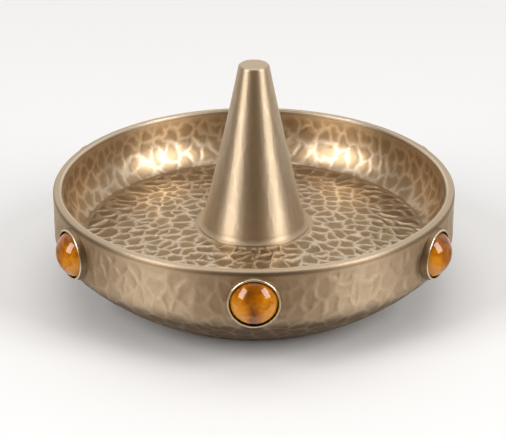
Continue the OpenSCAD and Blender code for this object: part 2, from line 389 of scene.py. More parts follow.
def fade(value, start, end):
    """0 at start and 1 at end, with a soft change between them."""
    t = min(1.0, max(0.0, (value - start) / (end - start)))
    return t * t * (3 - 2 * t)


# %% [markdown]
# The lathe spins a section into a closed mesh and has one point on the axis, so that no pole
# stays open. It also writes two things on every point: masks that say where the piece was
# hammered, and a flat place. That is where the point would lie if the section were unbent
# into a straight line that runs outwards, as on a flat blank before it was raised. An even
# pattern on the blank follows the raised surface. Where the real marks are longer, the blank
# is drawn shorter, so they come out stretched.

# %% The lathe
SHARP_DEG = 28


def unbent(section, start, stretch):
    """The radius on the flat blank of each point of a section, counted from its point nearest to start."""
    lengths = [0.0]
    for (r0, z0), (r, z) in zip(section, section[1:]):
        lengths.append(lengths[-1] + math.dist((r0, z0), (r, z)) / stretch((r + r0) / 2, (z + z0) / 2))
    home = min(range(len(section)), key=lambda i: math.dist(section[i], start))
    return [start[0] + abs(length - lengths[home]) for length in lengths]


def lathe(name, section, segments, masks=None, start=None, stretch=None):
    """Spins a section into a closed mesh. masks gives attributes, each a function of radius and
    height. start is where the flat blank begins, and stretch how much longer its marks come out."""
    closed = section[0][0] > 0
    points, faces, rings, places = [], [], [], []
    blank = unbent(section, start, stretch or (lambda r, z: 1.0)) if start else [0.0] * len(section)
    for (r, z), flat_r in zip(section, blank):
        turns = segments if r > 0 else 1
        rings.append(range(len(points), len(points) + turns))
        for k in range(turns):
            c, s = math.cos(2 * math.pi * k / segments), math.sin(2 * math.pi * k / segments)
            points.append((r * c * MM, r * s * MM, z * MM))
            places.append((flat_r * c * MM, flat_r * s * MM, 0))
    pairs = list(zip(rings, rings[1:])) + ([(rings[-1], rings[0])] if closed else [])
    for a, b in pairs:
        for k in range(segments):
            n = (k + 1) % segments
            corners = [a[k % len(a)], a[n % len(a)], b[n % len(b)], b[k % len(b)]]
            faces.append(list(dict.fromkeys(corners)))
    mesh = bpy.data.meshes.new(name)
    mesh.from_pydata(points, [], faces)
    shell = bmesh.new()
    shell.from_mesh(mesh)
    bmesh.ops.recalc_face_normals(shell, faces=shell.faces)
    shell.to_mesh(mesh)
    shell.free()
    mesh.shade_smooth()
    mesh.set_sharp_from_angle(angle=math.radians(SHARP_DEG))
    for label, mask in (masks or {}).items():
        attribute = mesh.attributes.new(label, "FLOAT", "POINT")
        for k, (x, y, z) in enumerate(points):
            attribute.data[k].value = mask(math.hypot(x, y) / MM, z / MM)
    if start:
        attribute = mesh.attributes.new("flat_place", "FLOAT_VECTOR", "POINT")
        for k, place in enumerate(places):
            attribute.data[k].vector = place
    piece = bpy.data.objects.new(name, mesh)
    bpy.context.collection.objects.link(piece)
    return piece


# %% [markdown]
# Geometry Nodes make what follows a surface or repeats. The three helpers start a tree with
# named inputs, end it in real geometry with a material, and run it on a piece. Running it
# keeps the result as the piece's own mesh, since live modifiers would not be exported.

# %% Helpers for geometry node trees
SOCKETS = {
    float: "NodeSocketFloat",
    int: "NodeSocketInt",
    str: "NodeSocketString",
    bpy.types.Material: "NodeSocketMaterial",
}


def start_tree(name, sizes):
    """A geometry node tree with one named input for each size, and the outputs of its input node."""
    tree = bpy.data.node_groups.new(name, "GeometryNodeTree")
    tree.interface.new_socket("Geometry", in_out="OUTPUT", socket_type="NodeSocketGeometry")
    tree.interface.new_socket("Geometry", in_out="INPUT", socket_type="NodeSocketGeometry")
    for label, kind in sizes.items():
        tree.interface.new_socket(label, in_out="INPUT", socket_type=SOCKETS[kind])
    return tree, add(tree, "NodeGroupInput").outputs


def end_tree(tree, geometry, material):
    """Ends a tree in real geometry with a material."""
    real = add(tree, "GeometryNodeRealizeInstances", {"Geometry": geometry})
    dressed = add(tree, "GeometryNodeSetMaterial", {"Geometry": real.outputs[0], "Material": material})
    add(tree, "NodeGroupOutput", {"Geometry": dressed.outputs[0]})


def run_tree(piece, tree, sizes):
    """Runs a tree on a piece and keeps the result as the piece's own plain mesh."""
    modifier = piece.modifiers.new(tree.name, "NODES")
    modifier.node_group = tree
    for item in tree.interface.items_tree:
        if item.in_out == "INPUT" and item.name in sizes:
            modifier[item.identifier] = sizes[item.name]
    graph = bpy.context.evaluated_depsgraph_get()
    mesh = bpy.data.meshes.new_from_object(
        piece.evaluated_get(graph), preserve_all_data_layers=True, depsgraph=graph)
    piece.modifiers.clear()
    old = piece.data
    piece.data = mesh
    bpy.data.meshes.remove(old)
    mesh.name = piece.name


# %% [markdown]
# A hammered face is a patchwork of shallow marks with raised borders where they meet. A
# Voronoi texture is just such a patchwork: its distance to the edge is small on a border and
# large in a mark. The tree lays it over the flat places, bends it a little, so that no
# border is a ruler line, and pushes the marks in. No two blows land alike, so each mark has
# its own depth and its own slant, and mirrors another part of the room. The borders keep the
# true surface, so hammering never makes a piece bigger.

# %% Hammer marks
BEND_SHARE = 0.9
BEND_SIZE = 0.8
SEED_STEP = 0.1
DEPTH_LEAST, DEPTH_SPREAD = 0.5, 0.6
CREST_POWER = 6.0
SLANT = 0.9
CORNER_FROM, CORNER_FULL, CORNER_SHARE = 0.3, 0.9, 0.8


def hammer_tree():
    """Presses marks with raised borders into the part of a piece that a mask marks."""
    tree, given = start_tree("hammer_marks", {
        "Mark size": float, "Border": float, "Depth": float, "Wave": float, "Wave size": float,
        "Unevenness": float, "Rubbed": float, "Patina": float, "Tone": float, "Where": str, "Seed": int,
        "Finish": bpy.types.Material})
    flat = add(tree, "GeometryNodeInputNamedAttribute", {"Name": "flat_place"}, data_type="FLOAT_VECTOR")
    where = add(tree, "GeometryNodeInputNamedAttribute", {"Name": given["Where"]}, data_type="FLOAT")
    moved = add(tree, "ShaderNodeMath", {0: given["Seed"], 1: SEED_STEP}, operation="MULTIPLY")
    place = add(tree, "ShaderNodeVectorMath", {0: flat.outputs[0], 1: moved.outputs[0]}, operation="ADD")
    bend_size = add(tree, "ShaderNodeMath", {0: given["Mark size"], 1: BEND_SIZE}, operation="MULTIPLY")
    bend_scale = add(tree, "ShaderNodeMath", {0: 1.0, 1: bend_size.outputs[0]}, operation="DIVIDE")
    bend = add(tree, "ShaderNodeTexNoise", {
        "Vector": place.outputs[0], "Scale": bend_scale.outputs[0], "Detail": 1.0})
    reach = add(tree, "ShaderNodeMath", {0: given["Mark size"], 1: BEND_SHARE}, operation="MULTIPLY")
    bent = add(tree, "ShaderNodeVectorMath", {
        0: bend.outputs["Color"], 1: reach.outputs[0], 2: place.outputs[0]}, operation="MULTIPLY_ADD")
    marks_per_metre = add(tree, "ShaderNodeMath", {0: 1.0, 1: given["Mark size"]}, operation="DIVIDE")
    patchwork = {
        "Vector": bent.outputs[0], "Scale": marks_per_metre.outputs[0],
        "Randomness": given["Unevenness"]}
    edge = add(tree, "ShaderNodeTexVoronoi", patchwork, feature="DISTANCE_TO_EDGE",
               voronoi_dimensions="2D")
    centre = add(tree, "ShaderNodeTexVoronoi", patchwork, feature="F1", voronoi_dimensions="2D")
    luck = add(tree, "ShaderNodeSeparateXYZ", {0: centre.outputs["Color"]})
    far = add(tree, "ShaderNodeMath", {
        0: edge.outputs["Distance"], 1: given["Mark size"]}, operation="MULTIPLY")
    border = add(tree, "ShaderNodeMapRange", {
        "Value": far.outputs[0], "From Max": given["Border"], "To Min": 1.0, "To Max": 0.0},
        interpolation_type="SMOOTHSTEP")
    corner = add(tree, "ShaderNodeMapRange", {
        "Value": centre.outputs["Distance"], "From Min": CORNER_FROM, "From Max": CORNER_FULL,
        "To Max": CORNER_SHARE}, interpolation_type="SMOOTHSTEP")
    open_side = add(tree, "ShaderNodeMath", {0: 1.0, 1: border.outputs[0]}, operation="SUBTRACT")
    open_corner = add(tree, "ShaderNodeMath", {0: 1.0, 1: corner.outputs[0]}, operation="SUBTRACT")
    pressed = add(tree, "ShaderNodeMath", {
        0: open_side.outputs[0], 1: open_corner.outputs[0]}, operation="MULTIPLY")
    raised = add(tree, "ShaderNodeMath", {0: 1.0, 1: pressed.outputs[0]}, operation="SUBTRACT")
    luck_depth = add(tree, "ShaderNodeMath", {
        0: luck.outputs["Y"], 1: DEPTH_SPREAD, 2: DEPTH_LEAST}, operation="MULTIPLY_ADD")
    aim = add(tree, "ShaderNodeVectorMath", {
        0: centre.outputs["Color"], 1: (1, 1, 0), 2: (-0.5, -0.5, 0)}, operation="MULTIPLY_ADD")
    from_centre = add(tree, "ShaderNodeVectorMath", {
        0: bent.outputs[0], 1: centre.outputs["Position"]}, operation="SUBTRACT")
    lean = add(tree, "ShaderNodeVectorMath", {
        0: aim.outputs[0], 1: from_centre.outputs[0]}, operation="DOT_PRODUCT")
    slant = add(tree, "ShaderNodeMath", {
        0: lean.outputs["Value"], 1: marks_per_metre.outputs[0]}, operation="MULTIPLY")
    tilted = add(tree, "ShaderNodeMath", {
        0: slant.outputs[0], 1: SLANT, 2: luck_depth.outputs[0]}, operation="MULTIPLY_ADD")
    uneven = add(tree, "ShaderNodeMath", {
        0: pressed.outputs[0], 1: tilted.outputs[0]}, operation="MULTIPLY")
    wave_scale = add(tree, "ShaderNodeMath", {0: 1.0, 1: given["Wave size"]}, operation="DIVIDE")
    wave = add(tree, "ShaderNodeTexNoise", {
        "Vector": place.outputs[0], "Scale": wave_scale.outputs[0], "Detail": 1.0})
    wave_depth = add(tree, "ShaderNodeMath", {
        0: wave.outputs["Fac"], 1: given["Wave"]}, operation="MULTIPLY")
    dent = add(tree, "ShaderNodeMath", {
        0: uneven.outputs[0], 1: given["Depth"], 2: wave_depth.outputs[0]}, operation="MULTIPLY_ADD")
    dent_here = add(tree, "ShaderNodeMath", {0: dent.outputs[0], 1: where.outputs[0]}, operation="MULTIPLY")
    inward = add(tree, "ShaderNodeMath", {0: dent_here.outputs[0], 1: -1.0}, operation="MULTIPLY")
    normal = add(tree, "GeometryNodeInputNormal").outputs["Normal"]
    push = add(tree, "ShaderNodeVectorMath", {0: normal, "Scale": inward.outputs[0]}, operation="SCALE")
    shine = add(tree, "ShaderNodeMath", {0: raised.outputs[0], 1: CREST_POWER}, operation="POWER")
    # The paler crest is partly wear and partly a painted highlight on the borders; the hollow is patina in the
    # marks; the tone differs at random.
    looks = {
        "crest": (shine.outputs[0], given["Rubbed"]),
        "hollow": (pressed.outputs[0], given["Patina"]),
        "tone": (luck.outputs["X"], given["Tone"]),
    }
    geometry = given["Geometry"]
    for label, (value, strength) in looks.items():
        before = add(tree, "GeometryNodeInputNamedAttribute", {"Name": label}, data_type="FLOAT")
        here = add(tree, "ShaderNodeMath", {0: value, 1: where.outputs[0]}, operation="MULTIPLY")
        total = add(tree, "ShaderNodeMath", {
            0: here.outputs[0], 1: strength, 2: before.outputs[0]},
            operation="MULTIPLY_ADD", use_clamp=True)
        stored = add(tree, "GeometryNodeStoreNamedAttribute", {
            "Geometry": geometry, "Name": label, "Value": total.outputs[0]},
            data_type="FLOAT", domain="POINT")
        geometry = stored.outputs[0]
    struck = add(tree, "GeometryNodeSetPosition", {"Geometry": geometry, "Offset": push.outputs[0]})
    end_tree(tree, struck.outputs[0], given["Finish"])
    return tree


hammer = hammer_tree()


def strike(piece, finish, where, size, border, depth, wave=0.0, wave_size=9.0,
           uneven=0.9, rubbed=1.0, patina=1.0, tone=1.0, seed=1):
    """Hammers the part of a piece that a mask marks. Sizes are in millimetres."""
    run_tree(piece, hammer, {
        "Mark size": size * MM, "Border": border * MM, "Depth": depth * MM, "Wave": wave * MM,
        "Wave size": wave_size * MM, "Unevenness": uneven, "Rubbed": rubbed, "Patina": patina,
        "Tone": tone, "Where": where, "Seed": seed, "Finish": finish})
    print("%s: %s of %.1f mm, %d points" % (piece.name, where, size, len(piece.data.vertices)))


# %% [markdown]
# The bowl was spun from a disc of sheet: an upright wall, a short bend, and a long curve down
# to the base. Its edge is turned in over the pan, which gives the flat rim. Below, the sheet
# is pressed up into a recess for the felt and a pocket for the screw's head.

# %% The bowl's section
SHEET_T = RIM_R - SHELL_IN_R
PAN_T = 1.1
LIP_R = PAN_OUT_R - PAN_T
EDGE_ROUND, INNER_BEVEL, LIP_H = 1.0, 0.35, 1.0
WALL_H, BEND_R = 11.2, 6.0
SLOPE_TOP, SLOPE_BASE = 46.0, 28.0
FELT_GAP = 0.3
POCKET_R, POCKET_TOP, SCREW_HOLE_R = 6.3, 4.3, 2.9
FINE, COARSE = 0.42, 3.0

bend_c = (RIM_R - BEND_R, RIM_H - WALL_H)
top_rad, base_rad = math.radians(SLOPE_TOP), math.radians(SLOPE_BASE)
bend_end_z = bend_c[1] - BEND_R * math.cos(top_rad)
under_r = (bend_end_z - BASE_LIFT) / (math.cos(base_rad) - math.cos(top_rad))
under_c = (bend_c[0] + (BEND_R - under_r) * math.sin(top_rad), bend_end_z + under_r * math.cos(top_rad))
base_r = under_c[0] + under_r * math.sin(base_rad)
print("underside: an arc of %.1f mm that meets the base ring at radius %.1f mm" % (under_r, base_r))


def bowl_section():
    recess_r = FELT_R + FELT_GAP
    outside = joined(
        [(LIP_R, RIM_H - INNER_BEVEL)],
        run((LIP_R + INNER_BEVEL, RIM_H), (RIM_R - EDGE_ROUND, RIM_H), FINE),
        arc((RIM_R - EDGE_ROUND, RIM_H - EDGE_ROUND), EDGE_ROUND, 90, 0, 0.15),
        run((RIM_R, RIM_H - EDGE_ROUND), (RIM_R, bend_c[1]), FINE),
        arc(bend_c, BEND_R, 0, SLOPE_TOP - 90, FINE),
        arc(under_c, under_r, SLOPE_TOP - 90, SLOPE_BASE - 90, FINE))
    hidden_arc = arc(under_c, under_r - SHEET_T, SLOPE_BASE - 90, SLOPE_TOP - 90, COARSE)
    inside = joined(
        [(recess_r, BASE_LIFT), (recess_r, FELT_T), (POCKET_R, FELT_T), (POCKET_R, POCKET_TOP)],
        [(SCREW_HOLE_R, POCKET_TOP), (SCREW_HOLE_R, POCKET_TOP + SHEET_T)],
        [(POCKET_R + SHEET_T, POCKET_TOP + SHEET_T), (POCKET_R + SHEET_T, FELT_T + SHEET_T)],
        [(recess_r + SHEET_T, FELT_T + SHEET_T), (recess_r + SHEET_T, BASE_LIFT + SHEET_T)],
        [p for p in hidden_arc if p[1] > BASE_LIFT + SHEET_T],
        arc(bend_c, BEND_R - SHEET_T, SLOPE_TOP - 90, 0, COARSE),
        [(SHELL_IN_R, RIM_H - LIP_H), (LIP_R, RIM_H - LIP_H)])
    return joined(outside, inside)


# %% [markdown]
# Only the outside of the wall was hammered, and lightly: on the real dish the marks can just
# be made out in the satin. One mask fades them out under the rim and at the base ring. Two
# more masks give the bowl its first crests and hollows before any mark is struck: the flat
# rim is made paler, above all on its inner bevel, partly as wear and partly as a painted
# highlight, and the underside and a thin line in the rim's outer rounding get the dark
# brown as painted shade.

# %% The bowl
BOWL_SEGMENTS = 720


def wall_marks(r, z):
    """Full from 3 mm below the rim down to the base ring, and none on the hidden inside."""
    outer = (r > SHELL_IN_R + 0.5 or math.dist((r, z), under_c) > under_r - 0.2
             or math.dist((r, z), bend_c) > BEND_R - 0.2 and z < bend_c[1] and r > bend_c[0])
    return fade(RIM_H - z, 1.2, 3.0) * fade(r, base_r, base_r + 1.5) if outer and r > base_r else 0.0


def rim_wear_and_highlight(r, z):
    """The flat rim a little, as wear, and above all its inner bevel, which fingers and cloths rub most and which
    carries a painted highlight.
    """
    on_rim = fade(z, RIM_H - 0.5, RIM_H - 0.2)
    # Painted highlight: the inner bevel gets most of the pale, smooth crest colour.
    return on_rim * (0.15 + 0.75 * fade(LIP_R + 0.7 - r, 0.0, 0.4))


def painted_shade_under_dish_and_rim_edge(r, z):
    """Painted shade: full under the dish, fading up round the bend, and a faint dark line in the rim's outer
    rounding.
    """
    outer_edge = fade(z, RIM_H - 1.6, RIM_H - 0.8) * fade(RIM_H - 0.15 - z, 0.0, 0.3)
    return fade(bend_c[1] - z, 0.0, 6.0) + 0.6 * outer_edge


bowl = lathe("hammered_bowl", bowl_section(), BOWL_SEGMENTS,
             {"wall_marks": wall_marks, "crest": rim_wear_and_highlight, "hollow": painted_shade_under_dish_and_rim_edge},
             start=(base_r, BASE_LIFT), stretch=lambda r, z: 1.15)
strike(bowl, bronze_bowl, "wall_marks", size=4.2, border=1.0, depth=0.13, wave=0.05, wave_size=9.0,
       rubbed=0.12, patina=0.08, tone=0.2, seed=4)

# %% [markdown]
# Each cup goes through a round hole in the wall. A ring of cylinders, one at each place,
# stands in for the drill: they are instances on the points of a circle, all turned outwards,
# and one boolean cuts them all.

# %% Holes for the cups
PLACES = ["front", "front_right", "back_right", "back", "back_left", "front_left"]
DRILL_L = 6.0
DRILL_SIDES = 64
HOLE_FIT = 0.05


def hole_tree():
    """Cuts one round hole through the wall at each of the places."""
    tree, given = start_tree("cup_holes", {
        "Places": int, "Hole radius": float, "Drill length": float, "Height": float, "Out to": float,
        "Finish": bpy.types.Material})
    ring = add(tree, "GeometryNodeMeshCircle", {"Vertices": given["Places"], "Radius": given["Out to"]})
    drill = add(tree, "GeometryNodeMeshCylinder", {
        "Vertices": DRILL_SIDES, "Radius": given["Hole radius"], "Depth": given["Drill length"]})
    outwards = add(tree, "GeometryNodeInputPosition").outputs[0]
    turned = add(tree, "FunctionNodeAlignRotationToVector", {"Vector": outwards}, axis="Z")
    drills = add(tree, "GeometryNodeInstanceOnPoints", {
        "Points": ring.outputs["Mesh"], "Instance": drill.outputs["Mesh"], "Rotation": turned.outputs[0]})
    up = add(tree, "ShaderNodeCombineXYZ", {"Z": given["Height"]})
    placed = add(tree, "GeometryNodeTransform", {
        "Geometry": drills.outputs[0], "Translation": up.outputs[0], "Rotation": (0, 0, math.pi / 2)})
    real = add(tree, "GeometryNodeRealizeInstances", {"Geometry": placed.outputs[0]})
    cut = add(tree, "GeometryNodeMeshBoolean", {
        "Mesh 1": given["Geometry"], "Mesh 2": real.outputs[0]}, operation="DIFFERENCE", solver="MANIFOLD")
    end_tree(tree, cut.outputs["Mesh"], given["Finish"])
    return tree


run_tree(bowl, hole_tree(), {
    "Places": len(PLACES), "Hole radius": (CUP_R - HOLE_FIT) * MM, "Drill length": DRILL_L * MM,
    "Height": STONE_Z * MM, "Out to": RIM_R * MM, "Finish": bronze_bowl})
print("bowl faces:", len(bowl.data.polygons))
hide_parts("outer_bowl")
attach(bowl, "root")

# %% [markdown]
# The pan is one sheet: its wall leans in on a wide curve, turns through a tight corner into
# the floor, and the floor rises a little towards the cone. The tight corner catches a thin
# line of light all the way round.

# %% The pan's section
COVE_R, COVE_TURN, CORNER_R = 13.0, 45.0, 1.5
FLOOR_DEPTH, FLOOR_SLOPE = 13.6, 7.9
SEAT_R = CONE_R + 0.4
PAN_STEP = 0.38

cove_rad, slope_rad = math.radians(COVE_TURN), math.radians(FLOOR_SLOPE)
corner_x = LIP_R - COVE_R + (COVE_R - CORNER_R) * math.cos(cove_rad)
corner_c = (corner_x, RIM_H - FLOOR_DEPTH + CORNER_R * math.cos(slope_rad))
cove_c = (LIP_R - COVE_R, corner_c[1] + (COVE_R - CORNER_R) * math.sin(cove_rad))
floor_r = corner_x - CORNER_R * math.sin(slope_rad)
crown_r = floor_r / math.tan(slope_rad)
print("floor: radius %.2f mm, crown %.0f mm" % (floor_r, crown_r))


def floor_z(r):
    """Height of the pan's crowned floor at a radius."""
    return RIM_H - FLOOR_DEPTH + (floor_r ** 2 - r ** 2) / (2 * crown_r)


def pan_wall(outset, step):
    """The pan's wall from its upright top to its tight corner, moved out by a distance."""
    return joined(
        arc(cove_c, COVE_R + outset, 0, -COVE_TURN, step),
        arc(corner_c, CORNER_R + outset, -COVE_TURN, -90 - FLOOR_SLOPE, step / 2))


def pan_section():
    floor = [(r, floor_z(r)) for r, _ in run((floor_r, 0), (SEAT_R, 0), PAN_STEP)]
    below = [(r, floor_z(r) - PAN_T) for r, _ in run((SEAT_R, 0), (floor_r - 1, 0), COARSE)]
    return joined(
        run((LIP_R, RIM_H - LIP_H), (LIP_R, cove_c[1]), PAN_STEP),
        pan_wall(0, PAN_STEP),
        floor,
        [(SCREW_HOLE_R, SEAT_Z), (SCREW_HOLE_R, SEAT_Z - PAN_T)],
        below,
        pan_wall(PAN_T, COARSE)[::-1],
        [(PAN_OUT_R, RIM_H - LIP_H)])


# %% [markdown]
# The maker struck the wall with a big round hammer, which left wide soft dents, and the floor
# with a small flat one, which left a close mosaic of flat marks with raised borders. Those
# borders are made paler, partly as wear and partly as a painted highlight. So the pan is
# struck twice, with two masks. At the floor's edge and at the cone's foot the marks are
# longer, because the hammer was held at a slant there.

# %% The pan
PAN_SEGMENTS = 700


def inner_wall_marks(r, z):
    """The pan's wall, fading out just under the rim and ending at the tight corner."""
    inside = r < LIP_R + 0.1 if z > cove_c[1] else math.dist((r, z), cove_c) < COVE_R + 0.1
    on_face = inside and r > corner_x
    return fade(RIM_H - z, 0.8, 3.5) * fade(r, corner_x + 0.1, corner_x + 0.6) if on_face else 0.0


def floor_marks(r, z):
    """The floor, from beside the cone's foot out to a narrow smooth band at its edge."""
    on_face = SEAT_R < r < floor_r and z > floor_z(r) - 0.1
    return fade(floor_r - r, 0.1, 0.5) * fade(r, SEAT_R + 0.1, SEAT_R + 0.9) if on_face else 0.0


def pan_stretch(r, z):
    """How much longer the marks are along the section: on the wall, at the floor's edge, at the foot."""
    if r > corner_x:
        return 1.3
    return 1.0 + 0.9 * fade(r, 34.0, 38.0) + 0.6 * fade(r, 20.0, 15.0)


pan = lathe("hammered_pan", pan_section(), PAN_SEGMENTS,
            {"inner_wall_marks": inner_wall_marks, "floor_marks": floor_marks},
            start=(SEAT_R, floor_z(SEAT_R)), stretch=pan_stretch)
strike(pan, bronze_pan, "inner_wall_marks", size=3.5, border=0.9, depth=0.075, wave=0.06, wave_size=8.0,
       rubbed=0.2, patina=0.5, tone=0.35, seed=7)
# Painted highlight, partly wear: the floor's borders get a strong pale colour.
strike(pan, bronze_pan, "floor_marks", size=3.4, border=0.8, depth=0.34, wave=0.08, wave_size=7.0,
       uneven=0.8, rubbed=0.5, patina=0.6, tone=0.45, seed=3)
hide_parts("inner_pan")
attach(pan, "root")

# %% [markdown]
# The cone was turned from bar, then planished: tapped all over with a flat polished hammer,
# so lightly that only the streaks of light on it waver. Its foot flares out to meet the
# floor, and its tip is flat with a rounded edge.

# %% The cone
FOOT_FLARE, FOOT_EDGE = 1.3, 0.25
TIP_SIDE_R, TIP_ROUND, CONE_HOLLOW = 3.85, 0.8, 0.25
TIP_FACE = 0.15
THREAD_R, THREAD_TOP = 2.55, SEAT_Z + 13.0
CONE_STEP = 0.34
CONE_SEGMENTS = 320


def cone_section():
    foot = (CONE_R - FOOT_FLARE, SEAT_Z + FOOT_EDGE + FOOT_FLARE)
    lean = math.atan((foot[0] - TIP_SIDE_R) / (TIP_Z - foot[1]))
    tip_c = (TIP_SIDE_R - TIP_ROUND * math.cos(lean), TIP_Z - TIP_ROUND)
    top = (tip_c[0] + TIP_ROUND * math.cos(lean), tip_c[1] + TIP_ROUND * math.sin(lean))
    rings = math.ceil(math.dist(foot, top) / CONE_STEP)
    side = []
    for i in range(rings + 1):
        t = i / rings
        bow = 4 * CONE_HOLLOW * t * (1 - t)
        side.append((top[0] + (foot[0] - top[0]) * t - bow, top[1] + (foot[1] - top[1]) * t))
    return joined(
        run((0, TIP_Z), (tip_c[0], TIP_Z), 0.5),
        arc(tip_c, TIP_ROUND, 90, math.degrees(lean), 0.1),
        side,
        arc((CONE_R, foot[1]), FOOT_FLARE, 180, 270, 0.12),
        [(CONE_R, SEAT_Z), (THREAD_R, SEAT_Z), (THREAD_R, THREAD_TOP), (0, THREAD_TOP)])


def cone_marks(r, z):
    """The cone's side, from below its rounded tip to above its flared foot."""
    on_face = r > TIP_SIDE_R - 0.5 and z > SEAT_Z + FOOT_FLARE and r > THREAD_R + 0.5
    return fade(TIP_Z - z, 0.8, 6.0) * fade(z, SEAT_Z + 1.8, SEAT_Z + 4.0) if on_face else 0.0


def rubbed_cone(r, z):
    """All of the cone: fingers and rings rub it, so it is a little paler than the dish."""
    return 0.3


cone = lathe("satin_cone", cone_section(), CONE_SEGMENTS,
             {"cone_marks": cone_marks, "crest": rubbed_cone},
             start=(TIP_SIDE_R, TIP_Z), stretch=lambda r, z: 3.0)
strike(cone, bronze_cone, "cone_marks", size=3.0, border=0.8, depth=0.014, wave=0.02, wave_size=4.0,
       rubbed=0.1, patina=0.1, tone=0.25, seed=11)
cone.data.materials.append(bronze_tip)
for face in cone.data.polygons:
    if face.center.z > (TIP_Z - TIP_FACE) * MM:
        face.material_index = 1
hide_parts("ring_cone")
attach(cone, "root")

# %% [markdown]
# A set is a cup, a foil and a stone. Each is spun about the vertical axis first and then
# turned outwards to its place. The stone is a little slimmer than its cup, and a hair's
# breadth above its foil, so that light can pass between glass and metal as it does in air.

# %% Sections of cup, foil and stone
CUP_T, CUP_BACK, CUP_TAPER = 0.5, 0.6, 0.25
CUP_LIP, CUP_INNER_LIP = 0.28, 0.12
FOIL_GAP = 0.04
STONE_EDGE = 1.2
STONE_SLIM = 0.2
CUP_FLOOR = SHELL_IN_R + CUP_BACK
CUP_FRONT_R = CUP_R - CUP_TAPER
GIRDLE_TOP = STONE_BASE + STONE_EDGE
GAP_SIDE_DEPTH = 0.9
glass_r = STONE_R - STONE_SLIM
glass_dome = STONE_TOP - GIRDLE_TOP
dome_r = (glass_r ** 2 + glass_dome ** 2) / (2 * glass_dome)


def cup_section():
    inner_r = CUP_FRONT_R - CUP_T
    return joined(
        [(0, SHELL_IN_R), (CUP_R, SHELL_IN_R)],
        run((CUP_R, RIM_R - 0.5), (CUP_FRONT_R, CUP_FRONT - CUP_LIP), 0.4),
        arc((CUP_FRONT_R - CUP_LIP, CUP_FRONT - CUP_LIP), CUP_LIP, 0, 90, 0.06),
        arc((inner_r + CUP_INNER_LIP, CUP_FRONT - CUP_INNER_LIP), CUP_INNER_LIP, 90, 180, 0.05),
        [(inner_r, CUP_FRONT - GAP_SIDE_DEPTH), (inner_r, CUP_FLOOR), (0, CUP_FLOOR)])


def painted_gap_shade_mask(r, z):
    """The inner side and the bottom of the cup, which are painted near-black as shade."""
    inner = r < CUP_FRONT_R - CUP_T + 0.02
    return 1.0 if inner and CUP_FLOOR - 0.01 < z < CUP_FRONT - CUP_INNER_LIP + 0.01 else 0.0


def side_mask(r, z):
    """The outer side of the cup, up to just below its rounded lip."""
    return 1.0 if r > CUP_FRONT_R - 0.01 and z < CUP_FRONT - CUP_LIP + 0.05 else 0.0


def foil_section():
    top = STONE_BASE - FOIL_GAP
    return [(0, CUP_FLOOR), (STONE_R, CUP_FLOOR), (STONE_R, top), (0, top)]


def stone_section():
    lean = math.degrees(math.asin(glass_r / dome_r))
    return joined(
        [(0, STONE_BASE), (glass_r - 0.15, STONE_BASE)],
        [(glass_r, STONE_BASE + 0.15), (glass_r, GIRDLE_TOP)],
        arc((0, STONE_TOP - dome_r), dome_r, 90 - lean, 90, 0.25))


# %% [markdown]
# Six sets of three pieces follow from one loop over the kinds and the places.

# %% Cups, foils and stones
SET_SEGMENTS = 96
SETS = {
    "cup": (cup_section, {"tarnish": painted_gap_shade_mask, "side": side_mask}, cup_metal, "bezel_cup_", "polished_bezel"),
    "foil": (foil_section, {}, foil_metal, "foil_", "gold_foil"),
    "stone": (stone_section, {}, stone_amber, "cabochon_", "amber_glass"),
}


def place_matrix(index):
    """Turns a piece built up the Z axis so that it points out from the dish at one of the places."""
    turn = math.radians(index * 360 / len(PLACES) - 90)
    return (Matrix.Rotation(turn, 4, "Z") @ Matrix.Translation((0, 0, STONE_Z * MM))
            @ Matrix.Rotation(math.pi / 2, 4, "Y"))


for kind, (section, masks, finish, node, slot) in SETS.items():
    for index, place in enumerate(PLACES):
        piece = lathe(kind + "_at_" + place, section(), SET_SEGMENTS, masks, start=(0, STONE_TOP))
        piece.data.transform(place_matrix(index))
        piece.data.materials.append(finish)
        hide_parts(node + place)
        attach(piece, "root")
print("sets made:", len(PLACES))

# %% [markdown]
# The felt is a round disc cut from a 1.2 mm sheet and glued into the recess of the base. Its
# cut edge is slightly rounded by wear. It is laid flat, so its cut size is its real size.

# %% The felt
FELT_EDGE = 0.25
FELT_SEGMENTS = 128
felt_rim = FELT_R - FELT_EDGE
felt = lathe("felt_disc", joined(
    [(0, 0), (felt_rim, 0)],
    arc((felt_rim, FELT_EDGE), FELT_EDGE, -90, 0, 0.1),
    arc((felt_rim, FELT_T - FELT_EDGE), FELT_EDGE, 0, 90, 0.1),
    [(0, FELT_T)]), FELT_SEGMENTS)
felt.data.materials.append(wool_felt)
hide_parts("base_felt")
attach(felt, "root")
print("felt area %.0f square mm" % (math.pi * FELT_R ** 2))

# %% [markdown]
# Ballast, screw and washer are closed in, so their shapes stay as they are and only get their
# finishes.

# %% Parts that stay as they are
HIDDEN = {"ballast": cast_resin, "tie_screw": zinc_steel, "screw_washer": zinc_steel}
for name, finish in HIDDEN.items():
    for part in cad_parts[name].material_slots:
        part.material = finish

# %% [markdown]
# The dish stands on matt white paper. In front of the dish and at its sides the paper is kept
# from mirrored rays, as a photographer would cover it with brown cards. Metal and stones
# need that: without something darker to mirror, they would look as flat as paint. Only the
# paper behind the dish and a patch round its foot are mirrored.

# %% The paper
PAPER_SIDE = 4.0
CARD_FRONT, CARD_SIDE, CARD_BACK = -0.064, 0.062, 0.040


def matt_paper():
    material, tree = new_material("matt_paper")
    paper = add(tree, "ShaderNodeBsdfDiffuse", {"Color": linear("#D9D9D9")})
    add(tree, "ShaderNodeOutputMaterial", {"Surface": paper.outputs[0]})
    return material


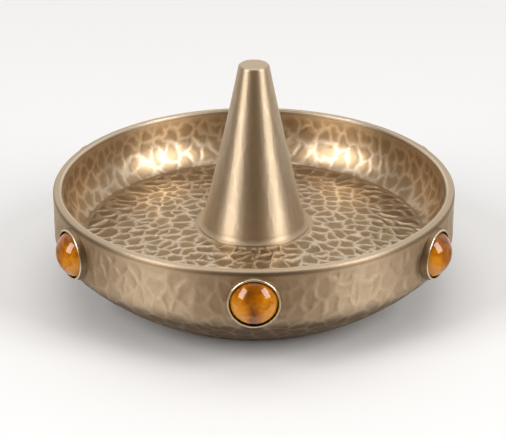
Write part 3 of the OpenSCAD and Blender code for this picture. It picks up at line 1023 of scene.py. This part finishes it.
def paper_sheet(name, left, right, front, back, finish):
    """A rectangle of the paper, between two distances along X and two along Y."""
    mesh = bpy.data.meshes.new(name)
    mesh.from_pydata([
        (left, front, 0), (right, front, 0), (right, back, 0), (left, back, 0)], [], [(0, 1, 2, 3)])
    mesh.materials.append(finish)
    sheet = bpy.data.objects.new(name, mesh)
    bpy.context.collection.objects.link(sheet)
    return sheet


paper_finish = matt_paper()
mirrored_paper = {
    "table": (-PAPER_SIDE, PAPER_SIDE, CARD_BACK, PAPER_SIDE),
    "table_foot": (-CARD_SIDE, CARD_SIDE, CARD_FRONT, CARD_BACK),
}
covered_paper = {
    "table_front": (-PAPER_SIDE, PAPER_SIDE, -PAPER_SIDE, CARD_FRONT),
    "table_left": (-PAPER_SIDE, -CARD_SIDE, CARD_FRONT, CARD_BACK),
    "table_right": (CARD_SIDE, PAPER_SIDE, CARD_FRONT, CARD_BACK),
}
for name, edges in mirrored_paper.items():
    paper_sheet(name, *edges, paper_finish)
for name, edges in covered_paper.items():
    paper_sheet(name, *edges, paper_finish).visible_glossy = False
print("sheets of paper:", len(mirrored_paper) + len(covered_paper))

# %% [markdown]
# Two soft boxes stand low, left and right of the camera, and reach down almost to the table.
# They draw the two upright bands of light on the cone, the soft highlights on the wall and
# the two small windows on each stone. A third hangs high behind the dish. It lights every
# edge that leans towards the camera: the rounding of the rim and the borders of the marks.
# A weak fill above the camera lightens the shadow on the paper, and metal doesn't mirror it.
# An area light that faces the dish does this. Its energy follows from the brightness that
# its face should have.

# %% Soft boxes


def softbox(name, azimuth, elevation, distance, width, height, radiance):
    """A soft light that faces the dish. Azimuth 0 is at the camera and 90 on the right."""
    a, e = math.radians(azimuth), math.radians(elevation)
    data = bpy.data.lights.new(name, "AREA")
    data.shape = "RECTANGLE"
    data.size = width
    data.size_y = height
    data.energy = radiance * math.pi * width * height
    light = bpy.data.objects.new(name, data)
    bpy.context.collection.objects.link(light)
    direction = Matrix.Rotation(a, 3, "Z") @ Matrix.Rotation(-e, 3, "X") @ Vector((0, -1, 0))
    light.location = direction * distance
    light.rotation_mode = "QUATERNION"
    light.rotation_quaternion = direction.to_track_quat("Z", "Y")
    light.visible_camera = False
    return light


softbox("softbox_left", -59, 30, 1.4, 0.62, 1.0, 7.4)
softbox("softbox_right", 63, 30, 1.4, 0.62, 1.0, 7.4)
softbox("softbox_top", 180, 82, 0.9, 0.7, 0.7, 0.8)
softbox("fill", 0, 65, 1.4, 1.2, 1.2, 1.1).visible_glossy = False

# %% [markdown]
# The rest of the light is the sky of the studio: white behind and above the dish, darker
# towards the camera's side. Rays that come straight from the camera see plain white instead,
# as the picture's background. Rays that metal mirrors or glass lets through see that white
# too, but only behind the dish, where the backdrop hangs. Below the horizon the sky has the
# colour of the cards, which mirrored rays reach through the covered paper.

# %% Studio sky
SKY_TILT, SKY_LEAN = 0.35, 0.15
SKY_DARK, SKY_BRIGHT = -0.2, 0.8
BACKDROP_FROM, BACKDROP_FULL = 0.3, 0.8


def studio_sky():
    world = bpy.data.worlds.new("studio")
    bpy.context.scene.world = world
    world.use_nodes = True
    tree = world.node_tree
    tree.nodes.clear()
    way = add(tree, "ShaderNodeSeparateXYZ", {0: add(tree, "ShaderNodeTexCoord").outputs["Generated"]})
    leaning = add(tree, "ShaderNodeMath", {
        0: way.outputs["X"], 1: SKY_LEAN, 2: way.outputs["Y"]}, operation="MULTIPLY_ADD")
    tipped = add(tree, "ShaderNodeMath", {
        0: way.outputs["Z"], 1: SKY_TILT, 2: leaning.outputs[0]}, operation="MULTIPLY_ADD")
    share = add(tree, "ShaderNodeMapRange", {
        "Value": tipped.outputs[0], "From Min": SKY_DARK, "From Max": SKY_BRIGHT},
        interpolation_type="SMOOTHSTEP")
    above = add(tree, "ShaderNodeMapRange", {"Value": way.outputs["Z"], "From Min": -0.1, "From Max": 0.0})
    air = add(tree, "ShaderNodeMix", {
        0: share.outputs[0], MIX_A: linear("#695844"), MIX_B: linear("#E6E6E6")}, data_type="RGBA")
    sky = add(tree, "ShaderNodeMix", {
        0: above.outputs[0], MIX_A: linear("#B2A089"), MIX_B: air.outputs[MIX_OUT]}, data_type="RGBA")
    ray = add(tree, "ShaderNodeLightPath")
    shiny = add(tree, "ShaderNodeMath", {
        0: ray.outputs["Is Glossy Ray"], 1: ray.outputs["Is Transmission Ray"]},
        operation="ADD", use_clamp=True)
    behind = add(tree, "ShaderNodeMapRange", {
        "Value": way.outputs["Y"], "From Min": BACKDROP_FROM, "From Max": BACKDROP_FULL})
    hanging = add(tree, "ShaderNodeMath", {0: behind.outputs[0], 1: above.outputs[0]}, operation="MULTIPLY")
    mirrored = add(tree, "ShaderNodeMath", {0: shiny.outputs[0], 1: hanging.outputs[0]}, operation="MULTIPLY")
    hung = add(tree, "ShaderNodeMix", {
        0: mirrored.outputs[0], MIX_A: sky.outputs[MIX_OUT], MIX_B: linear("#F0ECE6")}, data_type="RGBA")
    seen = add(tree, "ShaderNodeMix", {
        0: ray.outputs["Is Camera Ray"], MIX_A: hung.outputs[MIX_OUT], MIX_B: (1, 1, 1, 1)},
        data_type="RGBA")
    back = add(tree, "ShaderNodeBackground", {"Color": seen.outputs[MIX_OUT]})
    add(tree, "ShaderNodeOutputWorld", {"Surface": back.outputs[0]})


studio_sky()
bpy.context.scene.view_settings.view_transform = "Standard"
